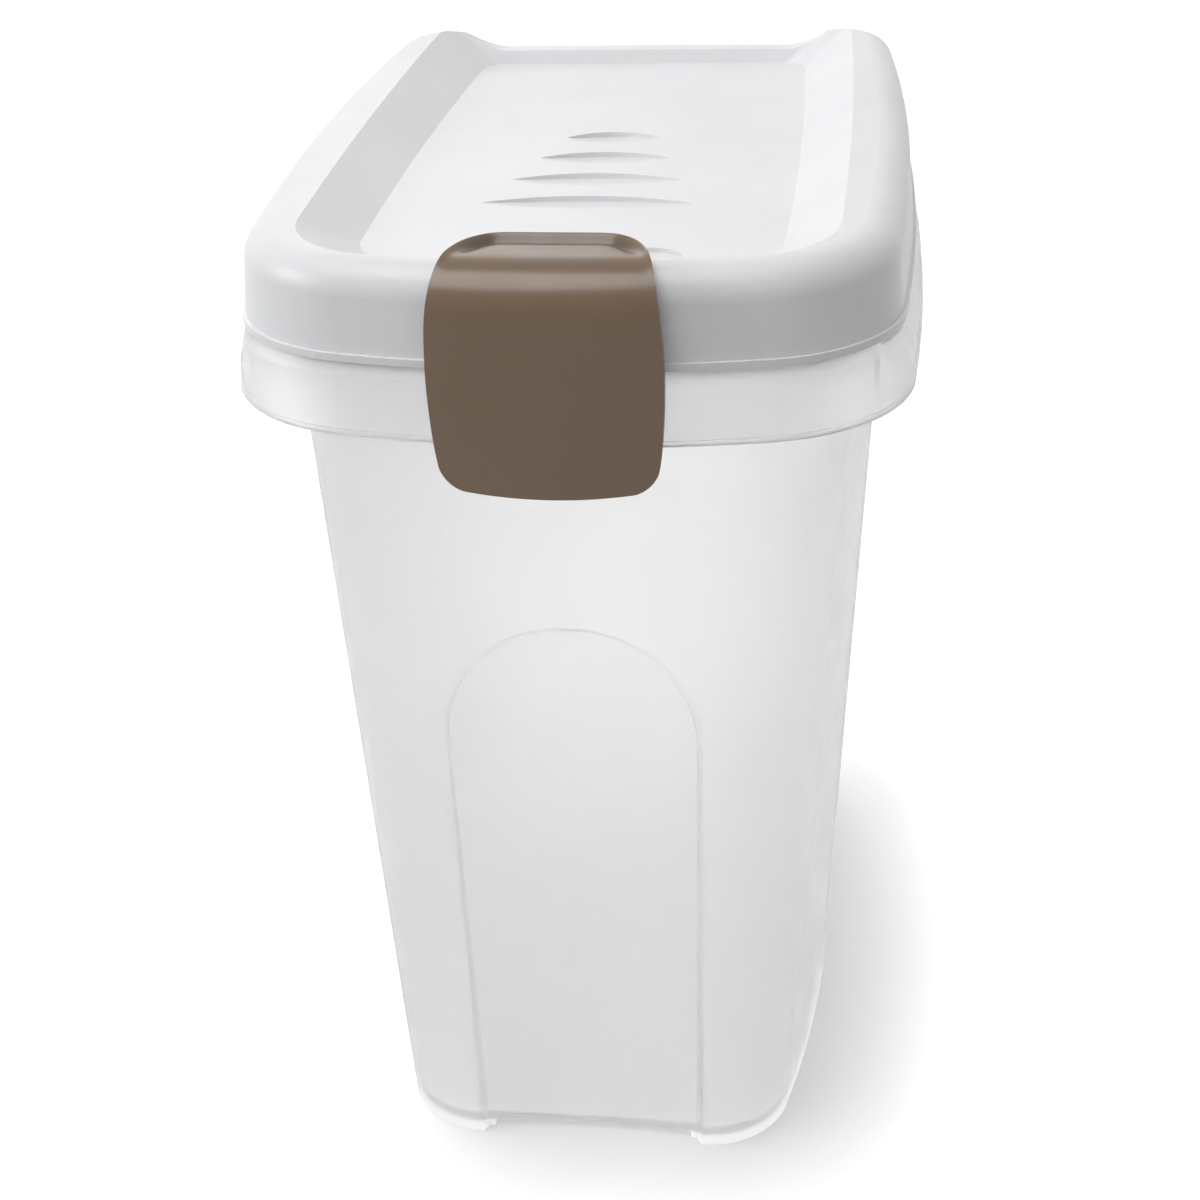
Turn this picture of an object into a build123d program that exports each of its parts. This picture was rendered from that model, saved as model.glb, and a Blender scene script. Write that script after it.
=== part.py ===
from build123d import *
import math
import os

os.makedirs("parts", exist_ok=True)

# Upright food bin: X is its width, -Y its front with the latch, Z up.
# The origin is on the floor, under the middle of the whole bin.

# Lid outline at its lower edge
LID_HALF_W = 110.0
LID_FRONT = 155.5
LID_REAR = 147.5
LID_SIDE_BOW = 7.5
LID_FRONT_BOW = 17.0
LID_REAR_BOW = 1.0
LID_FRONT_R = 50.0
LID_REAR_R = 26.0

# Tub outline at the floor and at the top of its tapered body, which stands in from the lid's edge
BASE_HALF_W = 86.0
BASE_FRONT = 140.5
BASE_REAR = 129.5
BASE_SIDE_BOW = 19.0
BASE_FRONT_BOW = 0.6
BASE_CORNER_R = 31.0
BODY_SIDE_IN = 9.2
BODY_FRONT_IN = 10.0
BODY_REAR_IN = 11.0
BODY_HALF_W = LID_HALF_W - BODY_SIDE_IN
BODY_FRONT = LID_FRONT - BODY_FRONT_IN
BODY_REAR = LID_REAR - BODY_REAR_IN
BODY_SIDE_BOW = 18.0
BODY_FRONT_BOW = 10.0
BODY_CORNER_R = 47.0
BODY_TOP = 300.0
REAR_BOW = 0.6

# Tub walls, foot and floor
WALL = 2.0
FOOT_H = 3.0
FOOT_W = 3.5
FLOOR = 2.4
FLOOR_R = 7.0

# Arched scoop in the front of the tub
ARCH_HALF_W = 42.0
ARCH_TOP = 223.0
SCOOP_DEPTH = 5.4
SCOOP_STEP = 3.2
SCOOP_FADE = 0.9
SCOOP_TAPER = 30.0

# Collar round the mouth of the tub, and the upright rim inside it
COLLAR_OUT = 3.5
COLLAR_HANG = 2.2
COLLAR_H = 21.7
CREASE_H = 8.2
COLLAR_CHAMFER = 3.6
COLLAR_BOTTOM = BODY_TOP - COLLAR_HANG
COLLAR_CREASE = COLLAR_BOTTOM + CREASE_H
COLLAR_TOP = COLLAR_BOTTOM + COLLAR_H
PANEL_SIDE_IN = 12.0
PANEL_HALF_W = LID_HALF_W - PANEL_SIDE_IN
PANEL_R = 3.2
PANEL_DEPTH = 40.0
BEAD_OUT = 0.7
BEAD_H = 1.8
RIM_H = 11.5
RIM_TOP = COLLAR_TOP + RIM_H
RIM_WALL = 2.0

# Lid shell and rails
LID_GAP = 1.0
LID_H = 32.1
LID_BOTTOM = COLLAR_TOP + LID_GAP
LID_TOP = LID_BOTTOM + LID_H
LID_TILT = 1.0
LID_WALL = 2.2
LID_DRAFT = 3.0
LID_EDGE_R = 11.0
LID_BEAD_OUT = 0.8
LID_BEAD_H = 2.4
RIM_GAP = 3.3

# Tray: its floor and the crest of the rails round it, both measured in from the lid's edge
TRAY_DEPTH = 11.6
TRAY_SIDE_IN = 40.5
TRAY_FRONT_IN = 31.0
TRAY_REAR_IN = 13.0
TRAY_FLOOR = LID_TOP - TRAY_DEPTH
TRAY_HALF_W = LID_HALF_W - TRAY_SIDE_IN
TRAY_FRONT = LID_FRONT - TRAY_FRONT_IN
TRAY_REAR = LID_REAR - TRAY_REAR_IN
TRAY_BOW = 2.5
TRAY_R = 24.0
TRAY_REAR_R = 9.0
TRAY_OVER = 1.25
CREST_SIDE_IN = 22.5
CREST_FRONT_IN = 13.0
CREST_REAR_IN = 6.0
CREST_HALF_W = LID_HALF_W - CREST_SIDE_IN
CREST_FRONT = LID_FRONT - CREST_FRONT_IN
CREST_REAR = LID_REAR - CREST_REAR_IN
CREST_FRONT_BOW = 9.0
CREST_R = 34.0
LIP_RISE = 5.0
LIP_SIDE_IN = 50.0
LIP_SAG = 4.0
MOUTH_SIDE_IN = 26.0
LIP_Z = TRAY_FLOOR + LIP_RISE
LIP_HALF_W = LID_HALF_W - LIP_SIDE_IN
MOUTH_HALF_W = LID_HALF_W - MOUTH_SIDE_IN

# Fingertip dimples across the tray
DIMPLES = 4
DIMPLE_IN = 67.5
DIMPLE_Y = DIMPLE_IN - TRAY_FRONT
DIMPLE_STEP = 26.2
DIMPLE_W = 70.4
DIMPLE_SHORTER = 11.9
DIMPLE_REACH = 13.8
DIMPLE_BACK = 7.4
DIMPLE_TIP = 0.8
DIMPLE_DEPTH = 2.0

# Pocket of the latch in the front rail
POCKET_HALF_W = 38.0
POCKET_FRONT_IN = 16.5
POCKET_L = 36.5
POCKET_R = 12.0
POCKET_DROP = 1.5
POCKET_FRONT = LID_FRONT - POCKET_FRONT_IN
POCKET_REAR = POCKET_FRONT - POCKET_L
POCKET_FLOOR = TRAY_FLOOR - POCKET_DROP

# Plug wall under the lid, its gussets and the seal round it
PLUG_RISE = 2.5
PLUG_BOTTOM = LID_BOTTOM + PLUG_RISE
PLUG_WALL = 1.8
PLUG_GAP = 1.7
GUSSET_W = 1.8
GUSSET_GAP = 0.5
GUSSET_STEP = 42.0
SEAL_RISE = 1.6
SEAL_Z = PLUG_BOTTOM + SEAL_RISE
SEAL_H = 3.2
SEAL_GAP = 0.3
SEAL_BITE = 0.8

# Rear hinge
HINGE_X = 60.0
HINGE_OUT = 11.0
HINGE_H = 8.5
HINGE_Y = LID_REAR + HINGE_OUT
HINGE_Z = COLLAR_TOP + HINGE_H
KNUCKLE_R = 4.5
PIN_R = 2.0
PIN_FIT = 0.06
KNUCKLE_W = 15.0
EAR_W = 7.0
HINGE_GAP = 0.4

# Latch and its pin
LATCH_HALF_W = 35.5
LATCH_T = 2.8
LATCH_GAP = 1.2
LATCH_DROP = 15.8
LATCH_PROUD = 0.8
LATCH_REAR_IN = 26.0
LATCH_BOTTOM = COLLAR_BOTTOM - LATCH_DROP
LATCH_TOP = LID_TOP + LATCH_PROUD
LATCH_REAR = LID_FRONT - LATCH_REAR_IN
LATCH_EDGE_R = 17.0
LATCH_CORNER_R = 11.5
LATCH_REAR_R = 16.0
LATCH_BULGE = 1.8
LATCH_TAPER = 3.2
LATCH_SAG = 3.0
LIP_H = 1.2
LIP_T = 1.6
GROOVE_DEPTH = 1.2
GROOVE_R = 12.0
LATCH_AXIS_IN = 21.5
LATCH_EAR_X = 23.0
LATCH_EAR_R = 2.9
LATCH_EAR_W = 4.0
LATCH_EAR_GAP = 0.5
LATCH_AXIS_Y = LATCH_AXIS_IN - LID_FRONT
LATCH_AXIS_Z = LATCH_TOP - LATCH_T - LATCH_EAR_GAP - LATCH_EAR_R
BARREL_R = 3.0
BARREL_HALF_L = 31.0
LATCH_PIN_R = 1.5
CATCH_BITE = 0.15
CATCH_DROP = 2.4
CATCH_H = 4.0
CATCH_HALF_W = 24.0

PIN_END = 1.0


def mix(low, high, share):
    return low + (high - low) * share


def outline(plane, half_w, front, rear, side_bow, front_bow, rear_bow, front_r, rear_r, inset=0.0):
    """Bowed rectangle with its own corner radius front and rear, drawn inset from its size."""
    x = half_w - inset - side_bow * (1 - inset / front) ** 2
    front_y = inset - front + front_bow * (1 - inset / half_w) ** 2
    rear_y = rear - inset - rear_bow * (1 - inset / half_w) ** 2
    middle = (front_y + rear_y) / 2
    with BuildSketch(plane, mode=Mode.PRIVATE) as plan:
        with BuildLine():
            ThreePointArc((-x, front_y), (0, inset - front), (x, front_y))
            ThreePointArc((x, front_y), (half_w - inset, middle), (x, rear_y))
            ThreePointArc((x, rear_y), (0, rear - inset), (-x, rear_y))
            ThreePointArc((-x, rear_y), (inset - half_w, middle), (-x, front_y))
        make_face()
        fillet(plan.vertices().sort_by(Axis.Y)[:2], front_r - inset)
        fillet(plan.vertices().sort_by(Axis.Y)[-2:], rear_r - inset)
    return plan.sketch


def level(z):
    return Plane.XY.offset(z)


def lid_plan(z, inset=0.0):
    return lid_outline(level(z), inset)


def lid_outline(plane, inset=0.0):
    return outline(plane, LID_HALF_W, LID_FRONT, LID_REAR, LID_SIDE_BOW, LID_FRONT_BOW,
                   LID_REAR_BOW, LID_FRONT_R, LID_REAR_R, inset)


def body_plan(z, inset=0.0):
    up = z / BODY_TOP
    corner_r = mix(BASE_CORNER_R, BODY_CORNER_R, up)
    return outline(level(z), mix(BASE_HALF_W, BODY_HALF_W, up), mix(BASE_FRONT, BODY_FRONT, up),
                   mix(BASE_REAR, BODY_REAR, up), mix(BASE_SIDE_BOW, BODY_SIDE_BOW, up),
                   mix(BASE_FRONT_BOW, BODY_FRONT_BOW, up), REAR_BOW, corner_r, corner_r, inset)


def arch_prism(grow):
    """The arch in front view, run through the front wall of the tub."""
    start = BASE_FRONT - 2 * SCOOP_DEPTH
    radius = ARCH_HALF_W + grow - 2 * SCOOP_DEPTH * math.tan(math.radians(SCOOP_TAPER))
    centre_z = ARCH_TOP - ARCH_HALF_W
    low_z = -2 * SCOOP_DEPTH
    with BuildPart(mode=Mode.PRIVATE) as prism:
        with BuildSketch(Plane.XZ.offset(start)) as arch:
            with BuildLine():
                Polyline((-radius, centre_z), (-radius, low_z), (radius, low_z), (radius, centre_z))
                ThreePointArc((radius, centre_z), (0, centre_z + radius), (-radius, centre_z))
            make_face()
        extrude(amount=4 * SCOOP_DEPTH, taper=-SCOOP_TAPER)
    return prism.part


def scoop_plan(z, deep, edge, face, grow):
    """Area in front of the scooped wall at height z."""
    reach = ARCH_HALF_W + WALL + grow
    with BuildSketch(Plane.XY.offset(z), mode=Mode.PRIVATE) as plan:
        with BuildLine():
            ThreePointArc((-reach, edge - face), (0, deep - face), (reach, edge - face))
            Polyline((reach, edge - face), (reach, -2 * face), (-reach, -2 * face), (-reach, edge - face))
        make_face()
    return plan.sketch


def scoop(grow):
    """The arched scoop; grow makes the same form one wall larger for the inside."""
    up = ARCH_TOP / BODY_TOP
    face_top = mix(BASE_FRONT, BODY_FRONT, up)
    fall = mix(BASE_FRONT_BOW, BODY_FRONT_BOW, up) * (ARCH_HALF_W / (BODY_HALF_W - BODY_SIDE_BOW)) ** 2
    with BuildPart(mode=Mode.PRIVATE) as tool:
        loft(sections=[
            scoop_plan(-FOOT_H, SCOOP_DEPTH + grow, SCOOP_STEP + grow, BASE_FRONT, grow),
            scoop_plan(ARCH_TOP + WALL, SCOOP_FADE + grow, SCOOP_FADE + fall + grow, face_top, grow),
        ])
        add(arch_prism(grow), mode=Mode.INTERSECT)
    return tool.part


def collar_block(inset, top, panel_half_w):
    """Collar with sloping shoulders and a full-height panel across the front."""
    outer = inset - COLLAR_OUT
    with BuildPart(mode=Mode.PRIVATE) as panel:
        extrude(to_extrude=lid_plan(COLLAR_BOTTOM, outer), amount=top - COLLAR_BOTTOM)
        fillet(panel.faces().sort_by(Axis.Z)[-1].edges(), PANEL_R)
        with Locations((0, -LID_FRONT, top)):
            Box(2 * panel_half_w, 2 * (LID_FRONT - PANEL_DEPTH), 4 * LID_WALL + 2 * (top - COLLAR_BOTTOM),
                mode=Mode.INTERSECT)
    with BuildPart(mode=Mode.PRIVATE) as block:
        extrude(to_extrude=lid_plan(COLLAR_BOTTOM, outer), amount=COLLAR_CREASE - COLLAR_BOTTOM)
        loft(sections=[lid_plan(COLLAR_CREASE, outer), lid_plan(top, outer + COLLAR_CHAMFER)])
        add(panel.part)
    return block.part


def ear_spots(x_list, y, z):
    return [(x, y, z) for x in x_list]


def cross_rod(radius, width, y, z, x_list):
    """Rods along X, centred on the given places."""
    with BuildPart(mode=Mode.PRIVATE) as rods:
        with Locations(*ear_spots(x_list, y, z)):
            Cylinder(radius, width, rotation=(0, 90, 0))
    return rods.part


def side_plates(points, width, x_list):
    """Flat plates with the given side view, centred on the given places along X."""
    with BuildPart(mode=Mode.PRIVATE) as plates:
        for x in x_list:
            with BuildSketch(Plane.YZ.offset(x - width / 2)):
                with BuildLine():
                    Polyline(*points, close=True)
                make_face()
            extrude(amount=width)
    return plates.part


# Places of the hinge and latch knuckles along X
EAR_REACH = KNUCKLE_W / 2 + HINGE_GAP + EAR_W / 2
HINGE_KNUCKLES = [-HINGE_X, HINGE_X]
HINGE_EARS = [x + side * EAR_REACH for x in HINGE_KNUCKLES for side in (-1, 1)]
LATCH_EARS = [-LATCH_EAR_X, LATCH_EAR_X]

RIM_INSET = LID_WALL + RIM_GAP
PLUG_INSET = RIM_INSET + RIM_WALL + PLUG_GAP
TOP_PLANE = Plane(origin=(0, 0, LID_TOP), x_dir=(1, 0, 0)).rotated((LID_TILT, 0, 0))

# Inside of the tub, with the back of the scoop standing into it
with BuildPart() as tub_cavity:
    loft(sections=[body_plan(FOOT_H + FLOOR, WALL), body_plan(BODY_TOP, WALL)])
    fillet(tub_cavity.faces().sort_by(Axis.Z)[0].edges(), FLOOR_R)
    extrude(to_extrude=body_plan(BODY_TOP, WALL), amount=COLLAR_TOP - BODY_TOP)
    add(scoop(WALL), mode=Mode.SUBTRACT)

# Tub: tapered body, scooped front, collar with its hanging skirt, inner rim and hinge ears
with BuildPart() as tub:
    add(collar_block(0, COLLAR_TOP, PANEL_HALF_W))
    add(collar_block(WALL, COLLAR_TOP - WALL, PANEL_HALF_W - WALL), mode=Mode.SUBTRACT)
    extrude(to_extrude=lid_plan(COLLAR_BOTTOM, -COLLAR_OUT - BEAD_OUT), amount=BEAD_H)
    extrude(to_extrude=lid_plan(COLLAR_BOTTOM, WALL - COLLAR_OUT), amount=BEAD_H, mode=Mode.SUBTRACT)
    extrude(to_extrude=lid_plan(COLLAR_TOP - WALL, RIM_INSET), amount=RIM_TOP - COLLAR_TOP + WALL)
    extrude(to_extrude=lid_plan(COLLAR_TOP, RIM_INSET + RIM_WALL), amount=RIM_TOP - COLLAR_TOP,
            mode=Mode.SUBTRACT)
    loft(sections=[body_plan(0), body_plan(BODY_TOP)])
    extrude(to_extrude=body_plan(BODY_TOP), amount=COLLAR_TOP - BODY_TOP)
    add(scoop(0), mode=Mode.SUBTRACT)
    extrude(to_extrude=body_plan(0, FOOT_W), amount=FOOT_H, mode=Mode.SUBTRACT)
    add(tub_cavity.part, mode=Mode.SUBTRACT)
    rear = LID_REAR + COLLAR_OUT
    add(side_plates([(rear - WALL / 2, COLLAR_BOTTOM + BEAD_H), (rear - COLLAR_CHAMFER, COLLAR_TOP - WALL / 2),
                     (HINGE_Y - KNUCKLE_R, COLLAR_TOP), (HINGE_Y - KNUCKLE_R, HINGE_Z),
                     (HINGE_Y + KNUCKLE_R, HINGE_Z), (HINGE_Y + KNUCKLE_R, COLLAR_TOP)], EAR_W, HINGE_EARS))
    add(cross_rod(KNUCKLE_R, EAR_W, HINGE_Y, HINGE_Z, HINGE_EARS))
    add(cross_rod(PIN_R, 2 * EAR_W, HINGE_Y, HINGE_Z, HINGE_EARS), mode=Mode.SUBTRACT)
tub.part.label = "tub"
export_step(tub.part, "parts/tub.step")


def tray(down, out):
    """Sunken tray in the top of the lid."""
    floor = outline(level(TRAY_FLOOR - down), TRAY_HALF_W + out, TRAY_FRONT + out, TRAY_REAR + out,
                    TRAY_BOW, CREST_FRONT_BOW, REAR_BOW, TRAY_R, TRAY_REAR_R)
    above = outline(TOP_PLANE.offset((TRAY_OVER - 1) * (LID_TOP - TRAY_FLOOR)),
                    mix(TRAY_HALF_W, CREST_HALF_W, TRAY_OVER) + out, mix(TRAY_FRONT, CREST_FRONT, TRAY_OVER) + out,
                    mix(TRAY_REAR, CREST_REAR, TRAY_OVER) + out, TRAY_BOW, CREST_FRONT_BOW, REAR_BOW,
                    mix(TRAY_R, CREST_R, TRAY_OVER), TRAY_REAR_R)
    with BuildPart(mode=Mode.PRIVATE) as tool:
        loft(sections=[floor, above])
    return tool.part


def rear_mouth(down, out):
    """Opening of the tray to the rear, above its low lip."""
    with BuildPart(mode=Mode.PRIVATE) as tool:
        with BuildSketch(Plane.XZ.offset(-LID_REAR - LID_EDGE_R)):
            low = LIP_Z - down
            high = LID_TOP + LID_EDGE_R - down
            low_x = LIP_HALF_W + out
            top_x = MOUTH_HALF_W + out
            with BuildLine():
                Line((-low_x, low), (low_x, low))
                SagittaArc((low_x, low), (top_x, high), -LIP_SAG)
                Line((top_x, high), (-top_x, high))
                SagittaArc((-top_x, high), (-low_x, low), -LIP_SAG)
            make_face()
        extrude(amount=LID_REAR + LID_EDGE_R - TRAY_REAR)
    return tool.part


def dimple(number, grow):
    """Fingertip scoop across the tray, deepest at its rear edge; each is shorter than the one before it."""
    half_w = (DIMPLE_W - number * DIMPLE_SHORTER) / 2 + grow
    wide = half_w / DIMPLE_TIP
    above = (DIMPLE_REACH ** 2 - DIMPLE_DEPTH ** 2) / (2 * DIMPLE_DEPTH)
    y = DIMPLE_Y + number * DIMPLE_STEP
    rear_y = y + DIMPLE_BACK
    edge_y = rear_y - above - grow
    with BuildPart(mode=Mode.PRIVATE) as scoop_tool:
        with BuildSketch(Plane.XY.offset(TRAY_FLOOR + above)):
            with BuildLine():
                ThreePointArc((-wide, edge_y), (0, edge_y - DIMPLE_DEPTH), (wide, edge_y))
                Polyline((wide, edge_y), (wide, rear_y), (-wide, rear_y), (-wide, edge_y))
            make_face()
        revolve(axis=Axis((0, rear_y, TRAY_FLOOR + above), (1, 0, 0)))
    with BuildPart(mode=Mode.PRIVATE) as lens:
        with BuildSketch(level(TRAY_FLOOR - 2 * DIMPLE_DEPTH - grow)):
            with BuildLine():
                ThreePointArc((-half_w, y), (0, rear_y + grow), (half_w, y))
                Polyline((half_w, y), (half_w, y - DIMPLE_REACH - grow), (-half_w, y - DIMPLE_REACH - grow),
                         (-half_w, y))
            make_face()
        extrude(amount=2 * DIMPLE_DEPTH + 2 * grow + DIMPLE_DEPTH)
        add(scoop_tool.part, mode=Mode.INTERSECT)
    return lens.part


def pocket(down, out):
    """Recess behind the front rim for the latch hinge and a fingertip."""
    with BuildPart(mode=Mode.PRIVATE) as tool:
        with BuildSketch(level(POCKET_FLOOR - down)):
            with Locations((0, -(POCKET_FRONT + POCKET_REAR) / 2)):
                RectangleRounded(2 * (POCKET_HALF_W + out), POCKET_FRONT - POCKET_REAR + 2 * out, POCKET_R)
        extrude(amount=LID_TOP - POCKET_FLOOR + LID_EDGE_R)
    return tool.part


SEAL_OUTER = RIM_INSET + RIM_WALL + SEAL_GAP
SEAL_SEAT = PLUG_INSET + SEAL_BITE


def ring(z, height, outer, inner):
    with BuildPart(mode=Mode.PRIVATE) as band:
        extrude(to_extrude=lid_plan(z, outer), amount=height)
        extrude(to_extrude=lid_plan(z, inner), amount=height, mode=Mode.SUBTRACT)
    return band.part


# Ribs under the lid, left standing in its hollow: a plug wall inside the rim, and gussets above it
with BuildPart() as lid_ribs:
    extrude(to_extrude=lid_plan(PLUG_BOTTOM, PLUG_INSET), amount=LID_TOP - PLUG_BOTTOM + LID_EDGE_R)
    with GridLocations(0, GUSSET_STEP, 1, 7):
        with Locations((0, 0, LID_TOP)):
            Box(2 * LID_HALF_W, GUSSET_W, 2 * (LID_TOP - RIM_TOP - GUSSET_GAP))
    with GridLocations(GUSSET_STEP, 0, 4, 1):
        with Locations((0, 0, LID_TOP)):
            Box(GUSSET_W, 2 * LID_FRONT, 2 * (LID_TOP - RIM_TOP - GUSSET_GAP))
    extrude(to_extrude=lid_plan(PLUG_BOTTOM, PLUG_INSET + PLUG_WALL), amount=2 * (LID_TOP - PLUG_BOTTOM),
            mode=Mode.SUBTRACT)
    add(ring(SEAL_Z, SEAL_H, PLUG_INSET - SEAL_BITE, SEAL_SEAT), mode=Mode.SUBTRACT)

# Lid skin: outside with its tray, pocket and dimples, and the hollow under it
with BuildPart() as lid_outer:
    loft(sections=[lid_plan(LID_BOTTOM), lid_outline(TOP_PLANE, LID_DRAFT)])
    fillet(lid_outer.faces().sort_by(Axis.Z)[-1].edges(), LID_EDGE_R)
    add(rear_mouth(0, 0), mode=Mode.SUBTRACT)
    add(tray(0, 0), mode=Mode.SUBTRACT)
    add(pocket(0, 0), mode=Mode.SUBTRACT)
    for number in range(DIMPLES):
        add(dimple(number, 0), mode=Mode.SUBTRACT)

with BuildPart() as lid_hollow:
    loft(sections=[lid_plan(LID_BOTTOM, LID_WALL),
                   lid_outline(TOP_PLANE.offset(-LID_WALL), LID_DRAFT + LID_WALL)])
    chamfer(lid_hollow.faces().sort_by(Axis.Z)[-1].edges(), LID_EDGE_R / 2)
    add(rear_mouth(LID_WALL, LID_WALL / 2), mode=Mode.SUBTRACT)
    add(tray(LID_WALL, LID_WALL / 2), mode=Mode.SUBTRACT)
    add(pocket(LID_WALL, LID_WALL), mode=Mode.SUBTRACT)
    for number in range(DIMPLES):
        add(dimple(number, LID_WALL), mode=Mode.SUBTRACT)
    add(lid_ribs.part, mode=Mode.SUBTRACT)


# Seal: soft ring seated in a groove of the plug wall, with two lips towards the rim
with BuildPart() as lid_seal:
    add(ring(SEAL_Z, SEAL_H, SEAL_OUTER, SEAL_SEAT))
    add(ring(SEAL_Z + SEAL_H / 3, SEAL_H / 3, SEAL_OUTER - SEAL_GAP, SEAL_OUTER + SEAL_BITE), mode=Mode.SUBTRACT)
lid_seal.part.label = "lid_seal"
export_step(lid_seal.part, "parts/lid_seal.step")

# Lid: hollow rails round a sunken tray, open below, with knuckles at the rear and latch ears
with BuildPart() as lid:
    add(lid_outer.part)
    add(lid_hollow.part, mode=Mode.SUBTRACT)
    add(side_plates([(LATCH_AXIS_Y - LATCH_EAR_R, LATCH_AXIS_Z), (LATCH_AXIS_Y + LATCH_EAR_R, LATCH_AXIS_Z),
                     (LATCH_AXIS_Y + LATCH_EAR_R, POCKET_FLOOR - LID_WALL / 2),
                     (LATCH_AXIS_Y - LATCH_EAR_R, POCKET_FLOOR - LID_WALL / 2)], LATCH_EAR_W, LATCH_EARS))
    add(cross_rod(LATCH_EAR_R, LATCH_EAR_W, LATCH_AXIS_Y, LATCH_AXIS_Z, LATCH_EARS))
    add(cross_rod(LATCH_PIN_R, 2 * LATCH_EAR_W, LATCH_AXIS_Y, LATCH_AXIS_Z, LATCH_EARS), mode=Mode.SUBTRACT)
    add(ring(LID_BOTTOM, LID_BEAD_H, -LID_BEAD_OUT, LID_WALL))
    add(side_plates([(LID_REAR - LID_WALL, HINGE_Z - KNUCKLE_R), (HINGE_Y, HINGE_Z - KNUCKLE_R),
                     (HINGE_Y, HINGE_Z + KNUCKLE_R), (LID_REAR - LID_WALL, HINGE_Z + KNUCKLE_R)],
                    KNUCKLE_W, HINGE_KNUCKLES))
    add(cross_rod(KNUCKLE_R, KNUCKLE_W, HINGE_Y, HINGE_Z, HINGE_KNUCKLES))
    add(cross_rod(PIN_R + PIN_FIT, 2 * KNUCKLE_W, HINGE_Y, HINGE_Z, HINGE_KNUCKLES), mode=Mode.SUBTRACT)
lid.part.label = "lid"
export_step(lid.part, "parts/lid.step")

# Latch plate in plan: it follows the bow of the collar
LATCH_FACE = LID_FRONT + COLLAR_OUT + LATCH_GAP
GROOVE_Y = LIP_T - LATCH_REAR - GROOVE_R / 2


def latch_area(z, reach, face, rear):
    bow = LID_FRONT_BOW * (reach / (LID_HALF_W - LID_SIDE_BOW)) ** 2
    with BuildSketch(level(z), mode=Mode.PRIVATE) as area:
        with BuildLine():
            ThreePointArc((-reach, bow - face), (0, -face), (reach, bow - face))
            Polyline((reach, bow - face), (reach, -rear), (-reach, -rear), (-reach, bow - face))
        make_face()
    return area.sketch


def latch_block(reach, face, rear, top, edge_r):
    with BuildPart(mode=Mode.PRIVATE) as block:
        extrude(to_extrude=latch_area(LATCH_BOTTOM - LATCH_T, reach, face, rear),
                amount=top - LATCH_BOTTOM + LATCH_T)
        fillet(block.faces().sort_by(Axis.Z)[-1].edges().sort_by(Axis.Y)[0], edge_r)
    return block.part


def latch_plan(inset):
    """Rear end of the top plate, with its rounded corners."""
    with BuildPart(mode=Mode.PRIVATE) as area:
        with BuildSketch(level(LATCH_BOTTOM - LATCH_T)):
            with Locations((0, -LATCH_REAR - LATCH_FACE)):
                RectangleRounded(2 * (LATCH_HALF_W - inset), 2 * (LATCH_FACE - inset), LATCH_REAR_R - inset)
        extrude(amount=LATCH_TOP - LATCH_BOTTOM + LATCH_T + LIP_H)
    return area.part


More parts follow.
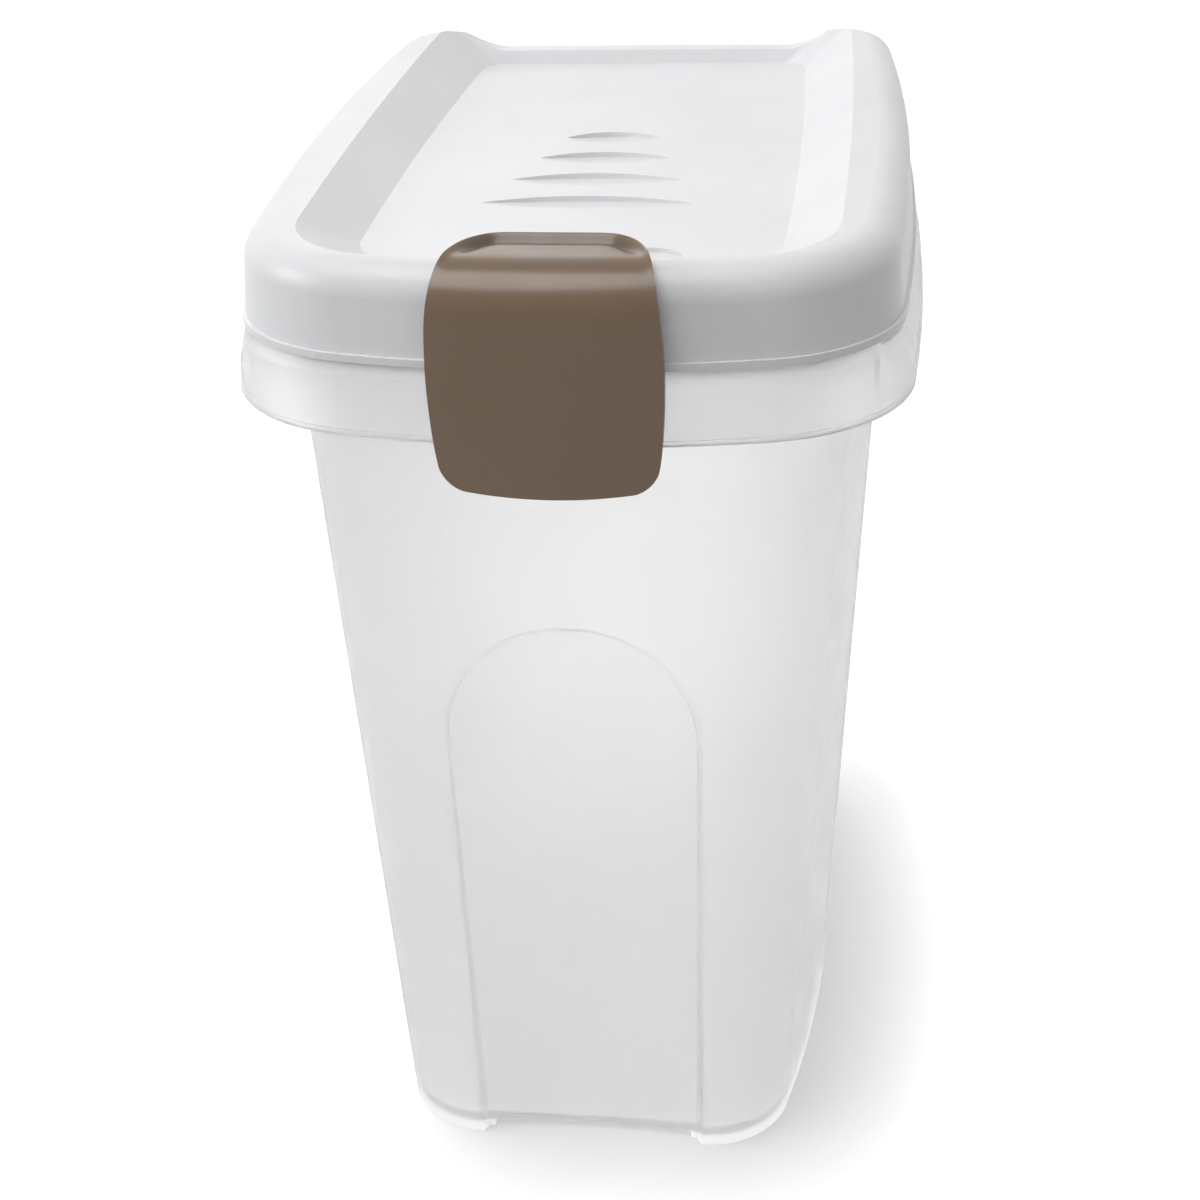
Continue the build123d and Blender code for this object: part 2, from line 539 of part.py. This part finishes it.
# Latch: bent plate over the front rim and down over the collar, hinged in the pocket of the lid
with BuildPart() as latch:
    add(latch_block(LATCH_HALF_W, LATCH_FACE + LATCH_T, LATCH_REAR, LATCH_TOP, LATCH_EDGE_R))
    add(latch_block(2 * LATCH_HALF_W, LATCH_FACE, 0, LATCH_TOP - LATCH_T, LATCH_EDGE_R - LATCH_T),
        mode=Mode.SUBTRACT)
    with BuildPart(mode=Mode.PRIVATE) as lip:
        with Locations((0, -LATCH_REAR, LATCH_TOP + (LIP_H - LATCH_T) / 2)):
            Box(2 * LATCH_HALF_W, 2 * LATCH_REAR_R, LATCH_T + LIP_H)
        add(latch_plan(LIP_T), mode=Mode.SUBTRACT)
    with BuildPart(mode=Mode.PRIVATE) as groove:
        add(cross_rod(GROOVE_R, 2 * LATCH_HALF_W, GROOVE_Y, LATCH_TOP - GROOVE_DEPTH + GROOVE_R, [0]))
        add(latch_plan(LIP_T), mode=Mode.INTERSECT)
    add(groove.part, mode=Mode.SUBTRACT)
    add(lip.part)
    add(latch_plan(0), mode=Mode.INTERSECT)
    with BuildPart(mode=Mode.PRIVATE) as face_view:
        with BuildSketch(Plane.XZ):
            low = LATCH_BOTTOM + LATCH_SAG
            high = LATCH_TOP + LIP_H
            low_x = LATCH_HALF_W - LATCH_BULGE
            high_x = LATCH_HALF_W - LATCH_TAPER
            middle = (low + high) / 2
            with BuildLine():
                ThreePointArc((-low_x, low), (0, LATCH_BOTTOM), (low_x, low))
                ThreePointArc((low_x, low), (LATCH_HALF_W, middle), (high_x, high))
                Line((high_x, high), (-high_x, high))
                ThreePointArc((-high_x, high), (-LATCH_HALF_W, middle), (-low_x, low))
            face = make_face()
            fillet(face.vertices().sort_by(Axis.Y)[:2], LATCH_CORNER_R)
        extrude(amount=2 * LATCH_FACE)
    add(face_view.part, mode=Mode.INTERSECT)
    knuckle_l = LATCH_EAR_X - LATCH_EAR_W / 2 - HINGE_GAP
    outer_l = BARREL_HALF_L - LATCH_EAR_X - LATCH_EAR_W / 2 - HINGE_GAP
    outer_x = BARREL_HALF_L - outer_l / 2
    web = [(LATCH_AXIS_Y - BARREL_R, LATCH_AXIS_Z), (LATCH_AXIS_Y + BARREL_R, LATCH_AXIS_Z),
           (LATCH_AXIS_Y + BARREL_R, LATCH_TOP - LATCH_T / 2), (LATCH_AXIS_Y - BARREL_R, LATCH_TOP - LATCH_T / 2)]
    for length, places in ((2 * knuckle_l, [0]), (outer_l, [-outer_x, outer_x])):
        add(cross_rod(BARREL_R, length, LATCH_AXIS_Y, LATCH_AXIS_Z, places))
        add(side_plates(web, length, places))
    add(cross_rod(LATCH_PIN_R + PIN_FIT, 2 * BARREL_HALF_L - 2 * PIN_END, LATCH_AXIS_Y, LATCH_AXIS_Z, [0]),
        mode=Mode.SUBTRACT)
    catch_y = -LATCH_FACE + LATCH_GAP - BEAD_OUT + CATCH_BITE
    catch_top = COLLAR_BOTTOM - CATCH_DROP
    add(side_plates([(-LATCH_FACE - LATCH_T / 2, catch_top - CATCH_H), (-LATCH_FACE, catch_top - CATCH_H),
                     (catch_y, catch_top - CATCH_H / 3), (catch_y, catch_top), (-LATCH_FACE - LATCH_T / 2, catch_top)],
                    2 * CATCH_HALF_W, [0]))
latch.part.label = "latch"
export_step(latch.part, "parts/latch.step")

# Pins: one through each rear hinge, one through the latch hinge
with BuildPart() as latch_pin:
    add(cross_rod(LATCH_PIN_R, 2 * BARREL_HALF_L - 4 * PIN_END, LATCH_AXIS_Y, LATCH_AXIS_Z, [0]))
latch_pin.part.label = "latch_pin"
export_step(latch_pin.part, "parts/latch_pin.step")

PIN_L = 2 * (EAR_REACH + EAR_W / 2) + 2 * PIN_END
with BuildPart() as hinge_pin_left:
    add(cross_rod(PIN_R, PIN_L, HINGE_Y, HINGE_Z, [-HINGE_X]))
hinge_pin_left.part.label = "hinge_pin_left"
export_step(hinge_pin_left.part, "parts/hinge_pin_left.step")

with BuildPart() as hinge_pin_right:
    add(cross_rod(PIN_R, PIN_L, HINGE_Y, HINGE_Z, [HINGE_X]))
hinge_pin_right.part.label = "hinge_pin_right"
export_step(hinge_pin_right.part, "parts/hinge_pin_right.step")
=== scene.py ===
import math

import bmesh
import bpy
from mathutils import Matrix, Vector


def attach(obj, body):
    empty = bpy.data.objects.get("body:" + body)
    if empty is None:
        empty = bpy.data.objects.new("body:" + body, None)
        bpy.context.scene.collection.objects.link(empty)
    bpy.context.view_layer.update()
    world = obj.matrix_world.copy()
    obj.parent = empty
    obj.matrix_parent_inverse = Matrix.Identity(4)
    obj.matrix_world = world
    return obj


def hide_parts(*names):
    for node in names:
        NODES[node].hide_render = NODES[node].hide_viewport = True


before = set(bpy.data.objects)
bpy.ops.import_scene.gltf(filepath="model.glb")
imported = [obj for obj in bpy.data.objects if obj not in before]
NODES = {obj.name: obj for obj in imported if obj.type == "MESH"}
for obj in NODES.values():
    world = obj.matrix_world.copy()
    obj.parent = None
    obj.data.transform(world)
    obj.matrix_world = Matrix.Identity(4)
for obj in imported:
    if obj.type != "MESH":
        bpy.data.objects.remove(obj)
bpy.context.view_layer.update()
SCENE = bpy.context.scene
MM = 0.001
WHITE = (1, 1, 1, 1)
BLACK = (0, 0, 0, 1)

# Camera: place in metres, then its turn, downward tilt and roll in radians, and its lens in mm
CAMERA_PLACE = (0.08798, -0.6815, 0.5376)
CAMERA_YAW = 0.141
CAMERA_DOWN = 0.505
CAMERA_ROLL = -0.039
SENSOR = 36.0
LENS = 58.02
NEAREST = 0.01
FARTHEST = 100

# Floor: its size, the share of light that it gives back to the object and to the camera, and how
# bright it shows through the tub close to the object, with painted shade, and away from it
FLOOR_SIZE = 30.0
FLOOR_BOUNCE = 0.55
FLOOR_SHADE = 0.2
FLOOR_THROUGH = (0.82, 1.12)

# Painted soft shadow: the side that it leans away from, its reach in metres and its darkest level
SHADOW_LEAN = (-0.7, 0.54, 0.46)
SHADOW_REACH = 0.057
SHADOW_DARK = 0.24
SHADOW_SAMPLES = 24

# World: light from the horizon and from above, what the rear adds, and how bright the white
# background shows to the camera and through the tub
WORLD_HEIGHT = (0.15, 0.45)
WORLD_REAR = 0.35
WORLD_WHITE = (1.0, 1.08)

# Lamps: name, place in metres, diameter and watts, all aimed at the middle of the object
MIDDLE = (0, 0, 0.2)
LAMPS = (
    ("overhead", (-0.6, -0.7, 3.0), 2.0, 37),
    ("behind", (-0.8, 2.6, 1.8), 1.4, 4.5),
    ("left", (-2.4, -0.7, 1.2), 1.0, 19),
)

# Plastic: the spread of its gloss, the strength of its grain, and the painted shade that darkens
# the hollows of a dark plastic, from an open surface to an enclosed one
GLOSS_SPREAD = 0.04
GRAIN_STRENGTH = 0.25
HOLLOW_SHADE_SAMPLES = 12
HOLLOW_SHADE_LEVELS = (0.2, 1.0)
HOLLOW_SHADE_OPEN = (0.72, 0.98)

# Latch, in millimetres: the bent plate of the CAD node, with the rows of its grid
PLATE_TOP = 353.4
PLATE_REAR = -129.5
PLATE_FACE = -163.0
PLATE_LOW = 282.0
PLATE_T = 2.8
BEND_R = 17.0
BEND_Y = PLATE_FACE + BEND_R
BEND_Z = PLATE_TOP - BEND_R
FLAT_L = PLATE_REAR - BEND_Y
BEND_L = BEND_R * math.pi / 2
PLATE_L = FLAT_L + BEND_L + BEND_Z - PLATE_LOW
HALF_W = 35.5
REAR_L = 32.0
LOW_R = 7.0
SAG = 3.3
SAG_L = 34.0
BOW = 17.0 / 102.5 ** 2
REAR_ROWS = 30
FACE_ROWS = 40
LOW_ROWS = 10
SIDE_COLUMNS = 24

# Half width of the plate at distances from its rear edge, measured along its bent surface
OUTLINE = (
    (0.0, 14.5), (0.35, 17.0), (1.0, 19.3), (2.0, 21.0), (3.5, 22.9), (6.0, 25.0), (9.0, 26.8),
    (13.0, 28.6), (18.0, 30.3), (24.0, 31.8), (32.0, 33.3), (42.0, 34.6), (52.0, 35.3),
    (62.0, 35.5), (72.0, 35.2), (82.0, 34.6), (90.0, 33.7), (98.0, 32.4),
)
EDGE_STEPS = (0.0, 0.12, 0.25, 0.45, 0.7, 1.0, 1.5, 2.0, 3.0, 4.2, 5.5, 7.0, 9.0, 11.0, 13.0, 16.0,
              19.0, 22.0, 26.0, 30.0, 34.0)

# Rolled rim round the rear of the plate and the dip inside it: size, place and width, then where
# each fades out
RIM_H = 1.3
RIM_SPREAD = 1.4
RIM_FADE = (7.0, 30.0)
DIP_DEPTH = 1.7
DIP_IN = 3.9
DIP_SPREAD = 2.0
DIP_FADE = (6.0, 20.0)

# Parts under the plate: barrel round the pin, web that carries it, and the catch
AXIS_Y = -134.0
AXIS_Z = 347.2
BARREL_R = 3.0
BORE_R = 1.56
BARREL_HALF_L = 20.6
BARREL_SIDES = 40
WEB_HALF_T = 2.4
WEB_LOW = AXIS_Z + 1.75
WEB_TOP = PLATE_TOP - 1.9
WEB = (
    (AXIS_Y - WEB_HALF_T, WEB_LOW), (AXIS_Y + WEB_HALF_T, WEB_LOW),
    (AXIS_Y + WEB_HALF_T, WEB_TOP), (AXIS_Y - WEB_HALF_T, WEB_TOP),
)
CATCH = (
    (-161.6, 291.4), (-160.2, 291.4), (-159.55, 294.07), (-159.55, 295.4), (-161.6, 295.4),
)
CATCH_HALF_W = 24.0
ROUNDING = 0.0007
ROUNDING_STEPS = 3
ROUNDING_ANGLE = 50


def map_range(tree, value, low, high, start=0.0, end=1.0):
    """Node that spreads a value between start and end to a range from low to high."""
    node = tree.nodes.new("ShaderNodeMapRange")
    tree.links.new(value, node.inputs["Value"])
    node.inputs["From Min"].default_value = start
    node.inputs["From Max"].default_value = end
    node.inputs["To Min"].default_value = low
    node.inputs["To Max"].default_value = high
    return node.outputs["Result"]


class Shader:
    """A material with one Principled shader and a few helpers for its noise."""

    def __init__(self, name):
        self.material = bpy.data.materials.new(name)
        self.material.use_nodes = True
        self.tree = self.material.node_tree
        self.tree.nodes.clear()
        self.surface = self.node("ShaderNodeBsdfPrincipled")
        self.link(self.surface.outputs["BSDF"],
                  self.node("ShaderNodeOutputMaterial").inputs["Surface"])
        self.place = self.node("ShaderNodeTexCoord").outputs["Object"]

    def node(self, kind, **values):
        """A new node with these values on its sockets."""
        node = self.tree.nodes.new(kind)
        for name, value in values.items():
            node.inputs[name.replace("_", " ")].default_value = value
        return node

    def link(self, source, target):
        self.tree.links.new(source, target)

    def noise(self, scale, detail, roughness=0.5):
        texture = self.node("ShaderNodeTexNoise", Scale=scale, Detail=detail, Roughness=roughness)
        self.link(self.place, texture.inputs["Vector"])
        return texture.outputs["Fac"]

    def spread(self, noise, low, high):
        """The middle of a noise, spread to a range."""
        return map_range(self.tree, noise, low, high, 0.3, 0.7)

    def mix(self, factor, low, high):
        """Colour between low and high, where each is a colour or a socket."""
        mix = self.node("ShaderNodeMix")
        mix.data_type = "RGBA"
        self.link(factor, mix.inputs["Factor"])
        for name, colour in (("A", low), ("B", high)):
            if isinstance(colour, tuple):
                mix.inputs[name].default_value = colour
            else:
                self.link(colour, mix.inputs[name])
        return mix.outputs["Result"]

    def bump(self, heights, distance):
        bump = self.node("ShaderNodeBump", Strength=GRAIN_STRENGTH, Distance=distance)
        self.link(heights, bump.inputs["Height"])
        self.link(bump.outputs["Normal"], self.surface.inputs["Normal"])

    def painted_hollow_shade(self, colour, reach):
        """The colour with painted shade: darker where the piece encloses its own surface within
        reach.
        """
        near = self.node("ShaderNodeAmbientOcclusion", Distance=reach)
        near.samples = HOLLOW_SHADE_SAMPLES
        near.only_local = True
        level = map_range(self.tree, near.outputs["AO"], *HOLLOW_SHADE_LEVELS, *HOLLOW_SHADE_OPEN)
        return self.mix(level, BLACK, colour)


def moulded(name, low, high, roughness, grain, grain_depth, hollow_shade=0.0, cloud=18.0, **constants):
    """Moulded plastic: faint flow clouds in colour and gloss, a fine surface grain, and painted
    shade in its hollows when a reach is given.
    """
    shader = Shader(name)
    clouds = shader.spread(shader.noise(cloud, 2.0), 0, 1)
    colour = shader.mix(clouds, (*low, 1), (*high, 1))
    # painted shade: the base colour turns darker in the piece's own hollows
    if hollow_shade:
        colour = shader.painted_hollow_shade(colour, hollow_shade)
    shader.link(colour, shader.surface.inputs["Base Color"])
    gloss = shader.spread(shader.noise(cloud * 6, 4.0),
                          roughness - GLOSS_SPREAD, roughness + GLOSS_SPREAD)
    shader.link(gloss, shader.surface.inputs["Roughness"])
    shader.bump(shader.noise(grain, 2.0, 0.6), grain_depth)
    for socket, value in constants.items():
        shader.surface.inputs[socket.replace("_", " ")].default_value = value
    return shader.material


TUB_PLASTIC = moulded("tub_frosted", (0.985, 0.985, 0.985), (1.0, 1.0, 1.0), 0.50, 1400.0, 0.00008,
                      Transmission_Weight=0.92, IOR=1.49)
LID_PLASTIC = moulded("lid_satin", (0.79, 0.795, 0.81), (0.83, 0.835, 0.85), 0.36, 1800.0, 0.00006,
                      Subsurface_Weight=0.1, Subsurface_Scale=0.004)
# The latch gets painted shade in its hollows within 5 mm
LATCH_PLASTIC = moulded("latch_taupe", (0.140, 0.078, 0.034), (0.154, 0.088, 0.041), 0.36, 3000.0,
                        0.00001, hollow_shade=0.005, Coat_Weight=0.45, Coat_Roughness=0.2)
SEAL_RUBBER = moulded("seal_soft", (0.70, 0.70, 0.68), (0.76, 0.76, 0.74), 0.55, 900.0, 0.00008,
                      Subsurface_Weight=0.3, Subsurface_Scale=0.003)
PIN_PLASTIC = moulded("pin_satin", (0.72, 0.72, 0.71), (0.78, 0.78, 0.77), 0.32, 1500.0, 0.00004)

FINISHES = {
    "tub": TUB_PLASTIC,
    "lid": LID_PLASTIC,
    "lid_seal": SEAL_RUBBER,
    "latch": LATCH_PLASTIC,
    "latch_pin": PIN_PLASTIC,
    "hinge_pin_left": PIN_PLASTIC,
    "hinge_pin_right": PIN_PLASTIC,
}
for name, node in NODES.items():
    node.data.materials.clear()
    node.data.materials.append(FINISHES[name])


def smooth_step(value, start, end):
    """From 0 at start to 1 at end, with a level beginning and ending."""
    share = min(max((value - start) / (end - start), 0.0), 1.0)
    return share * share * (3 - 2 * share)


def half_width(along):
    """Half width of the plate at a distance from its rear edge: a curve through the outline."""
    last = len(OUTLINE) - 1
    slopes = []
    for i in range(last + 1):
        (a, low), (b, high) = OUTLINE[max(i - 1, 0)], OUTLINE[min(i + 1, last)]
        slopes.append((high - low) / (b - a))
    for i in range(last):
        (a, low), (b, high) = OUTLINE[i], OUTLINE[i + 1]
        if along <= b:
            break
    span = b - a
    t = (along - a) / span
    return ((1 + 2 * t) * (1 - t) ** 2 * low + t * (1 - t) ** 2 * span * slopes[i]
            + t * t * (3 - 2 * t) * high + t * t * (t - 1) * span * slopes[i + 1])


def cut_in(along):
    """How far the lower corners come in."""
    low = along - (PLATE_L - LOW_R)
    return LOW_R * (1 - math.sqrt(max(1 - (low / LOW_R) ** 2, 0))) if low > 0 else 0.0


EDGE = [(0.0, 0.0)] + [(half_width(along), along) for along in EDGE_STEPS]


def rim_height(along, across):
    """Height of the rolled rim and depth of the dip, from the distance to the plate's edge."""
    inward = math.inf
    for (x0, y0), (x1, y1) in zip(EDGE, EDGE[1:]):
        dx, dy = x1 - x0, y1 - y0
        share = ((abs(across) - x0) * dx + (along - y0) * dy) / (dx * dx + dy * dy)
        share = min(max(share, 0.0), 1.0)
        away = math.hypot(abs(across) - x0 - share * dx, along - y0 - share * dy)
        inward = min(inward, away)
    roll = RIM_H * math.exp(-(inward / RIM_SPREAD) ** 2)
    dip = DIP_DEPTH * math.exp(-((inward - DIP_IN) / DIP_SPREAD) ** 2)
    fade = 1 - smooth_step(along, *RIM_FADE)
    return roll * fade, dip * fade * (1 - smooth_step(along, *DIP_FADE))


def plate_point(along, across, depth):
    """Point of the plate at a depth under its outer surface, bent over the front rim."""
    sag = SAG * (across / HALF_W) ** 2 * smooth_step(along, PLATE_L - SAG_L, PLATE_L)
    along = along - sag
    bow = BOW * across ** 2
    if along < FLAT_L:
        return across, PLATE_REAR - along * (FLAT_L - bow) / FLAT_L, PLATE_TOP - depth
    if along < FLAT_L + BEND_L:
        turn = (along - FLAT_L) / BEND_R
        reach = BEND_R - depth
        return across, BEND_Y + bow - reach * math.sin(turn), BEND_Z + reach * math.cos(turn)
    return across, PLATE_FACE + bow + depth, BEND_Z - (along - FLAT_L - BEND_L)


def vertex(mesh, point):
    """Vertex at a point in millimetres."""
    return mesh.verts.new([MM * value for value in point])


def latch_plate(mesh):
    """Outer and inner grid of the plate, joined round its outline."""
    quarter = math.pi / 2
    low_start = PLATE_L - LOW_R
    rows = [REAR_L * (1 - math.cos(quarter * i / REAR_ROWS)) for i in range(REAR_ROWS)]
    rows += [REAR_L + (low_start - REAR_L) * i / FACE_ROWS for i in range(FACE_ROWS)]
    rows += [low_start + LOW_R * math.sin(quarter * i / LOW_ROWS) for i in range(LOW_ROWS + 1)]
    columns = [math.sin(quarter * i / SIDE_COLUMNS) for i in range(-SIDE_COLUMNS, SIDE_COLUMNS + 1)]
    outer = []
    inner = []
    for along in rows:
        reach = half_width(along) - cut_in(along)
        for share in columns:
            across = reach * share
            roll, dip = rim_height(along, across)
            outer.append(vertex(mesh, plate_point(along, across, dip - roll)))
            inner.append(vertex(mesh, plate_point(along, across, PLATE_T - roll / 2)))
    wide = len(columns)
    for row in range(len(rows) - 1):
        for column in range(wide - 1):
            a = row * wide + column
            b = a + wide
            mesh.faces.new((outer[a], outer[b], outer[b + 1], outer[a + 1]))
            mesh.faces.new((inner[a], inner[a + 1], inner[b + 1], inner[b]))
    last = (len(rows) - 1) * wide
    edge = list(range(wide))
    edge += [row * wide + wide - 1 for row in range(1, len(rows))]
    edge += [last + column for column in range(wide - 2, -1, -1)]
    edge += [row * wide for row in range(len(rows) - 2, 0, -1)]
    for start, end in zip(edge, edge[1:] + edge[:1]):
        mesh.faces.new((outer[start], outer[end], inner[end], inner[start]))


def prism(mesh, profile, half_w):
    """Closed prism across the latch with a side view of (y, z) points."""
    low, high = ([vertex(mesh, (x, y, z)) for y, z in profile] for x in (-half_w, half_w))
    mesh.faces.new(low)
    mesh.faces.new(high[::-1])
    for i in range(len(profile)):
        j = (i + 1) % len(profile)
        mesh.faces.new((low[j], low[i], high[i], high[j]))


def barrel(mesh, half_l):
    """Tube round the latch pin."""
    rings = []
    for x, radius in ((-half_l, BARREL_R), (half_l, BARREL_R), (half_l, BORE_R), (-half_l, BORE_R)):
        turns = (2 * math.pi * i / BARREL_SIDES for i in range(BARREL_SIDES))
        rings.append([vertex(mesh, (x, AXIS_Y + radius * math.cos(turn),
                                    AXIS_Z + radius * math.sin(turn))) for turn in turns])
    for one, two in zip(rings, rings[1:] + rings[:1]):
        for i in range(BARREL_SIDES):
            j = (i + 1) % BARREL_SIDES
            mesh.faces.new((one[i], one[j], two[j], two[i]))


shape = bmesh.new()
latch_plate(shape)
barrel(shape, BARREL_HALF_L)
prism(shape, WEB, BARREL_HALF_L)
prism(shape, CATCH, CATCH_HALF_W)
bmesh.ops.recalc_face_normals(shape, faces=shape.faces[:])
plate_mesh = bpy.data.meshes.new("latch_plate")
shape.to_mesh(plate_mesh)
shape.free()
for face in plate_mesh.polygons:
    face.use_smooth = True
plate = bpy.data.objects.new("latch_plate", plate_mesh)
SCENE.collection.objects.link(plate)
plate_mesh.materials.append(LATCH_PLASTIC)
rounding = plate.modifiers.new("edges", "BEVEL")
rounding.width = ROUNDING
rounding.segments = ROUNDING_STEPS
rounding.limit_method = "ANGLE"
rounding.angle_limit = math.radians(ROUNDING_ANGLE)
rounding.harden_normals = True
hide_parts("latch")
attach(plate, "latch")

floor_mesh = bpy.data.meshes.new("floor")
half = FLOOR_SIZE / 2
floor_corners = [(-half, -half, 0), (half, -half, 0), (half, half, 0), (-half, half, 0)]
floor_mesh.from_pydata(floor_corners, [], [(0, 1, 2, 3)])
floor = bpy.data.objects.new("floor", floor_mesh)
SCENE.collection.objects.link(floor)


def combine(tree, operation, first, second):
    """Math node of two sockets."""
    node = tree.nodes.new("ShaderNodeMath")
    node.operation = operation
    tree.links.new(first, node.inputs[0])
    tree.links.new(second, node.inputs[1])
    return node.outputs[0]


def seen_as_white(tree, rays):
    """1 for rays of the camera, of reflections and through clear plastic, otherwise 0."""
    mirrored = combine(tree, "MAXIMUM", rays["Is Glossy Ray"], rays["Is Transmission Ray"])
    return combine(tree, "MAXIMUM", rays["Is Camera Ray"], mirrored)


# Floor: white where the camera, a reflection or clear plastic sees it, and it keeps the lamps'
# shadow;
# its glow also carries a painted soft shadow near the object
ground = bpy.data.materials.new("floor_white")
ground.use_nodes = True
tree = ground.node_tree
tree.nodes.clear()
rays = tree.nodes.new("ShaderNodeLightPath").outputs
diffuse = tree.nodes.new("ShaderNodeBsdfDiffuse")
tree.links.new(map_range(tree, seen_as_white(tree, rays), FLOOR_BOUNCE, FLOOR_SHADE),
               diffuse.inputs["Color"])
lean = tree.nodes.new("ShaderNodeCombineXYZ")
for axis, amount in zip("XYZ", SHADOW_LEAN):
    lean.inputs[axis].default_value = amount
contact = tree.nodes.new("ShaderNodeAmbientOcclusion")
contact.samples = SHADOW_SAMPLES
contact.inputs["Distance"].default_value = SHADOW_REACH
tree.links.new(lean.outputs[0], contact.inputs["Normal"])
# painted shadow: the floor's glow to the camera darkens near the object on the leaned side
shadow = map_range(tree, contact.outputs["AO"], SHADOW_DARK, 1.0)
# painted shade: the floor seen through the tub darkens near the object
under = map_range(tree, contact.outputs["AO"], *FLOOR_THROUGH)
direct = combine(tree, "MULTIPLY", rays["Is Camera Ray"], shadow)
through = combine(tree, "MULTIPLY", rays["Is Transmission Ray"], under)
mirrored = combine(tree, "SUBTRACT", rays["Is Glossy Ray"], rays["Is Transmission Ray"])
beyond = combine(tree, "MAXIMUM", mirrored, through)
glow = tree.nodes.new("ShaderNodeEmission")
glow.inputs["Color"].default_value = WHITE
tree.links.new(combine(tree, "MAXIMUM", direct, beyond), glow.inputs["Strength"])
both = tree.nodes.new("ShaderNodeAddShader")
tree.links.new(diffuse.outputs[0], both.inputs[0])
tree.links.new(glow.outputs[0], both.inputs[1])
tree.links.new(both.outputs[0], tree.nodes.new("ShaderNodeOutputMaterial").inputs["Surface"])
floor.data.materials.append(ground)

# World: soft light, stronger from above and behind, and white where the floor is seen as white
world = bpy.data.worlds.new("studio")
SCENE.world = world
world.use_nodes = True
tree = world.node_tree
tree.nodes.clear()
rays = tree.nodes.new("ShaderNodeLightPath").outputs
parts = tree.nodes.new("ShaderNodeSeparateXYZ")
tree.links.new(tree.nodes.new("ShaderNodeTexCoord").outputs["Generated"], parts.inputs[0])
height = map_range(tree, parts.outputs["Z"], *WORLD_HEIGHT)
behind = map_range(tree, parts.outputs["Y"], 0.0, WORLD_REAR)
soft = tree.nodes.new("ShaderNodeBackground")
soft.inputs["Color"].default_value = WHITE
tree.links.new(combine(tree, "ADD", height, behind), soft.inputs["Strength"])
white = tree.nodes.new("ShaderNodeBackground")
white.inputs["Color"].default_value = WHITE
tree.links.new(map_range(tree, rays["Is Transmission Ray"], *WORLD_WHITE), white.inputs["Strength"])
choose = tree.nodes.new("ShaderNodeMixShader")
tree.links.new(seen_as_white(tree, rays), choose.inputs[0])
tree.links.new(soft.outputs[0], choose.inputs[1])
tree.links.new(white.outputs[0], choose.inputs[2])
tree.links.new(choose.outputs[0], tree.nodes.new("ShaderNodeOutputWorld").inputs["Surface"])

for name, place, size, watts in LAMPS:
    data = bpy.data.lights.new(name, "AREA")
    data.shape = "DISK"
    data.size = size
    data.energy = watts
    light = bpy.data.objects.new(name, data)
    SCENE.collection.objects.link(light)
    light.location = place
    light.rotation_mode = "QUATERNION"
    light.rotation_quaternion = (Vector(MIDDLE) - Vector(place)).to_track_quat("-Z", "Y")

camera_data = bpy.data.cameras.new("camera")
camera_data.sensor_width = SENSOR
camera_data.lens = LENS
camera_data.clip_start = NEAREST
camera_data.clip_end = FARTHEST
camera = bpy.data.objects.new("camera", camera_data)
SCENE.collection.objects.link(camera)
turn = Matrix.Rotation(CAMERA_YAW, 3, "Z")
right = turn @ Vector((1, 0, 0))
up = turn @ Vector((0, math.sin(CAMERA_DOWN), math.cos(CAMERA_DOWN)))
ahead = turn @ Vector((0, math.cos(CAMERA_DOWN), -math.sin(CAMERA_DOWN)))
tilted_right = math.cos(CAMERA_ROLL) * right + math.sin(CAMERA_ROLL) * up
tilted_up = math.cos(CAMERA_ROLL) * up - math.sin(CAMERA_ROLL) * right
axes = Matrix((tilted_right, tilted_up, -ahead)).transposed().to_4x4()
camera.matrix_world = Matrix.Translation(CAMERA_PLACE) @ axes
SCENE.camera = camera
SCENE.view_settings.view_transform = "Standard"
